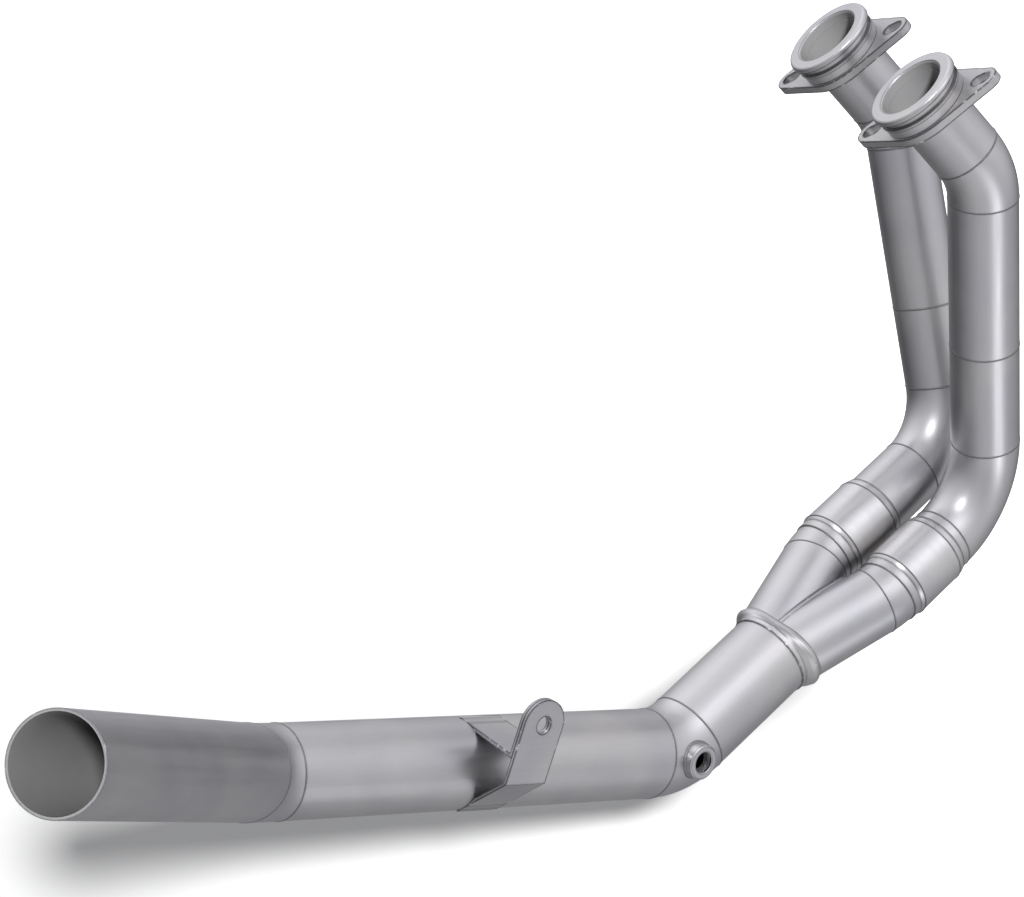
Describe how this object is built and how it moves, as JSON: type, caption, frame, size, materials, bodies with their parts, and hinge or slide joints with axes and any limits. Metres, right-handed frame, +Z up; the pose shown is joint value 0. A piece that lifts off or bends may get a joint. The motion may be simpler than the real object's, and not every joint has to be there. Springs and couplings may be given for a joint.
{
  "type": "motorcycle decat pipe",
  "caption": "Exhaust down pipes with flanged port collars, slip sleeves, merge collector, bent link pipe, probe boss and folded hanger strap.",
  "frame": {"origin": "centre of the right port collar's front face", "axes": "+X to the front of the machine, +Y to its left, +Z up, as the pipe is fitted; the port faces lean back and look up and to the rear along (-0.663, 0, 0.749)"},
  "size_m": [0.6444, 0.4963, 0.4022],
  "materials": {
    "header_tube": "satin",
    "port_collar": "satin",
    "flange_plate": "satin",
    "sleeve": "satin",
    "collector": "satin",
    "link_tube": "satin",
    "sensor_boss": "satin",
    "hanger_strap": "satin",
    "wire": "satin"
  },
  "bodies": {
    "root": {"collector_inlet_left": "collector", "collector_inlet_right": "collector", "collector_strip": "collector", "flange_ring_left": "port_collar", "flange_ring_right": "port_collar", "hanger_inner_strap": "hanger_strap", "hanger_outer_strap": "hanger_strap", "header_drop_left": "header_tube", "header_drop_right": "header_tube", "header_elbow_left": "header_tube", "header_elbow_right": "header_tube", "header_neck_left": "header_tube", "header_neck_right": "header_tube", "header_run_left": "header_tube", "header_run_right": "header_tube", "header_stub_left": "header_tube", "header_stub_right": "header_tube", "header_tail_left": "header_tube", "header_tail_right": "header_tube", "link_front": "link_tube", "link_front_bend": "link_tube", "link_middle": "link_tube", "link_rear": "link_tube", "link_rear_bend": "link_tube", "merge_ring": "collector", "port_collar_left": "port_collar", "port_collar_right": "port_collar", "port_flange_left": "flange_plate", "port_flange_right": "flange_plate", "sensor_boss": "sensor_boss", "slip_sleeve_left": "sleeve", "slip_sleeve_right": "sleeve", "spring_hook_left": "wire", "spring_hook_right": "wire"}
  },
  "joints": []
}
